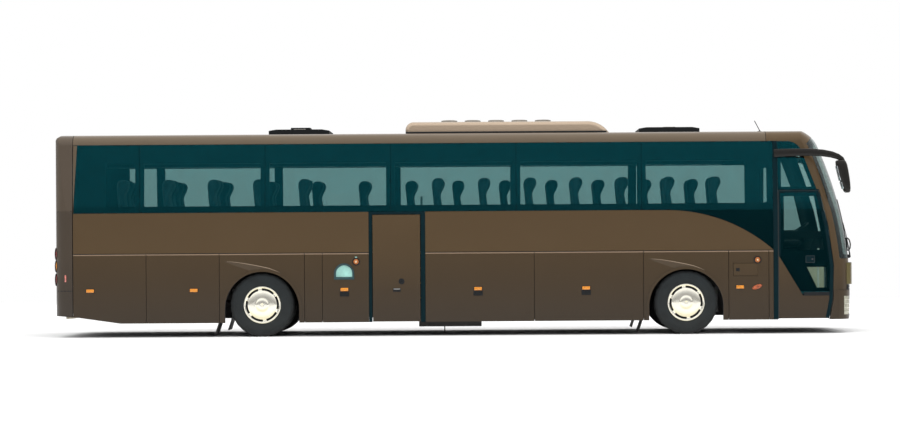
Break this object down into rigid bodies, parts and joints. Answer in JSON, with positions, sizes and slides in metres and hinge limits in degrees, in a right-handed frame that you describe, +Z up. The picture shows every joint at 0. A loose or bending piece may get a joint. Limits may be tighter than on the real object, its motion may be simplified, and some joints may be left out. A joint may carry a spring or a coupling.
{
  "type": "coach bus",
  "caption": "Long-distance coach with raked windscreen, flush side glass, swing-out doors, luggage flaps, twin rear tyres and a roof air conditioner.",
  "frame": {"origin": "on the road, under the middle of the coach", "axes": "+X forward, +Y to the coach's left, +Z up"},
  "size_m": [12.9925, 3.18, 3.5169],
  "materials": {
    "paint": "metallic bronze, gloss",
    "tinted_glass": "dark tint, polished",
    "clear_lens": "polished",
    "red_lens": "gloss",
    "black_trim": "satin",
    "grey_plastic": "satin",
    "floor_sheet": "sheet covering",
    "dark_steel": "matt",
    "door_steel": "brushed",
    "engine_iron": "cast",
    "rubber": "matt",
    "tyre": "matt",
    "chrome": "polished",
    "cloth": "woven"
  },
  "bodies": {
    "body": {"roof": "paint", "roof_fittings": "grey_plastic", "air_conditioner": "grey_plastic", "front_mask": "paint", "front_panel": "paint", "windscreen": "tinted_glass", "headlamps": "clear_lens", "front_bumper": "paint", "wipers": "black_trim", "mirror_right": "black_trim", "mirror_left": "black_trim", "rear_cap": "paint", "rear_window": "tinted_glass", "tail_lamps": "red_lens", "rear_bumper": "paint", "side_frame_right": "black_trim", "side_frame_left": "black_trim", "side_glass_right": "tinted_glass", "side_glass_left": "tinted_glass", "side_panels_right": "paint", "side_panels_left": "paint", "floor_deck": "floor_sheet", "stairs": "floor_sheet", "underframe": "dark_steel", "mudflaps": "rubber", "engine": "engine_iron", "front_axle": "dark_steel", "rear_axle": "dark_steel", "seats_right": "cloth", "seats_left": "cloth", "driver_place": "cloth", "dashboard": "black_trim", "steering_wheel": "black_trim", "luggage_racks": "grey_plastic"},
    "front_door_arms": {"front_door_arms": "door_steel"},
    "front_door": {"front_door": "paint", "front_door_glass": "tinted_glass"},
    "middle_door_arms": {"middle_door_arms": "door_steel"},
    "middle_door": {"middle_door": "paint"},
    "engine_lid": {"engine_lid": "paint"},
    "fuel_flap": {"fuel_flap": "paint"},
    "knuckle_right": {"knuckle_right": "dark_steel"},
    "knuckle_left": {"knuckle_left": "dark_steel"},
    "wheel_front_right": {"tyre_front_right": "tyre", "wheel_front_right": "chrome"},
    "wheel_front_left": {"tyre_front_left": "tyre", "wheel_front_left": "chrome"},
    "wheel_rear_right": {"tyres_rear_right": "tyre", "wheels_rear_right": "chrome"},
    "wheel_rear_left": {"tyres_rear_left": "tyre", "wheels_rear_left": "chrome"},
    "locker_flap_right": {"locker_flap_right": "paint"},
    "luggage_flap_right_rear": {"luggage_flap_right_rear": "paint"},
    "luggage_flap_right_front": {"luggage_flap_right_front": "paint"},
    "luggage_flap_left_rear": {"luggage_flap_left_rear": "paint"},
    "luggage_flap_left_middle": {"luggage_flap_left_middle": "paint"},
    "luggage_flap_left_front": {"luggage_flap_left_front": "paint"}
  },
  "joints": [
    {"name": "steer_right", "type": "hinge", "parent": "body", "child": "knuckle_right", "pos_m": [3.7, -0.88, 0.51], "axis": [0, 0, 1], "range_deg": [-42, 42]},
    {"name": "steer_left", "type": "hinge", "parent": "body", "child": "knuckle_left", "pos_m": [3.7, 0.88, 0.51], "axis": [0, 0, 1], "range_deg": [-42, 42]},
    {"name": "spin_front_right", "type": "hinge", "parent": "knuckle_right", "child": "wheel_front_right", "pos_m": [3.7, -1.111, 0.51], "axis": [0, 1, 0], "continuous": true},
    {"name": "spin_front_left", "type": "hinge", "parent": "knuckle_left", "child": "wheel_front_left", "pos_m": [3.7, 1.111, 0.51], "axis": [0, 1, 0], "continuous": true},
    {"name": "spin_rear_right", "type": "hinge", "parent": "body", "child": "wheel_rear_right", "pos_m": [-3.11, -1.111, 0.51], "axis": [0, 1, 0], "continuous": true},
    {"name": "spin_rear_left", "type": "hinge", "parent": "body", "child": "wheel_rear_left", "pos_m": [-3.11, 1.111, 0.51], "axis": [0, 1, 0], "continuous": true},
    {"name": "front_door_swing", "type": "hinge", "parent": "body", "child": "front_door_arms", "pos_m": [5.945, -1.165, 0.8], "axis": [0, 0, 1], "range_deg": [0, 112]},
    {"name": "front_door_turn", "type": "hinge", "parent": "front_door_arms", "child": "front_door", "pos_m": [5.445, -1.165, 0.8], "axis": [0, 0, 1], "range_deg": [-112, 0]},
    {"name": "middle_door_swing", "type": "hinge", "parent": "body", "child": "middle_door_arms", "pos_m": [-1.23, -1.165, 0.9], "axis": [0, 0, -1], "range_deg": [0, 112]},
    {"name": "middle_door_turn", "type": "hinge", "parent": "middle_door_arms", "child": "middle_door", "pos_m": [-0.8, -1.165, 0.9], "axis": [0, 0, -1], "range_deg": [-112, 0]},
    {"name": "engine_lid_hinge", "type": "hinge", "parent": "body", "child": "engine_lid", "pos_m": [-6.495, 0, 2.075], "axis": [0, -1, 0], "range_deg": [-85, 0]},
    {"name": "fuel_flap_hinge", "type": "hinge", "parent": "body", "child": "fuel_flap", "pos_m": [4.8477, -1.275, 1.031], "axis": [0, 0, -1], "range_deg": [-100, 0]},
    {"name": "locker_flap_right_hinge", "type": "hinge", "parent": "body", "child": "locker_flap_right", "pos_m": [-1.765, -1.275, 1.3266], "axis": [1, 0, 0], "range_deg": [-95, 0]},
    {"name": "luggage_flap_right_rear_hinge", "type": "hinge", "parent": "body", "child": "luggage_flap_right_rear", "pos_m": [0.388, -1.275, 1.3266], "axis": [1, 0, 0], "range_deg": [-95, 0]},
    {"name": "luggage_flap_right_front_hinge", "type": "hinge", "parent": "body", "child": "luggage_flap_right_front", "pos_m": [2.14, -1.275, 1.3266], "axis": [1, 0, 0], "range_deg": [-95, 0]},
    {"name": "luggage_flap_left_rear_hinge", "type": "hinge", "parent": "body", "child": "luggage_flap_left_rear", "pos_m": [-1.519, 1.275, 1.3266], "axis": [-1, 0, 0], "range_deg": [-95, 0]},
    {"name": "luggage_flap_left_middle_hinge", "type": "hinge", "parent": "body", "child": "luggage_flap_left_middle", "pos_m": [0.295, 1.275, 1.3266], "axis": [-1, 0, 0], "range_deg": [-95, 0]},
    {"name": "luggage_flap_left_front_hinge", "type": "hinge", "parent": "body", "child": "luggage_flap_left_front", "pos_m": [2.109, 1.275, 1.3266], "axis": [-1, 0, 0], "range_deg": [-95, 0]}
  ],
  "couplings": [
    {"joint": "steer_left", "follows": "steer_right", "ratio": 1},
    {"joint": "front_door_turn", "follows": "front_door_swing", "ratio": -1},
    {"joint": "middle_door_turn", "follows": "middle_door_swing", "ratio": -1}
  ]
}
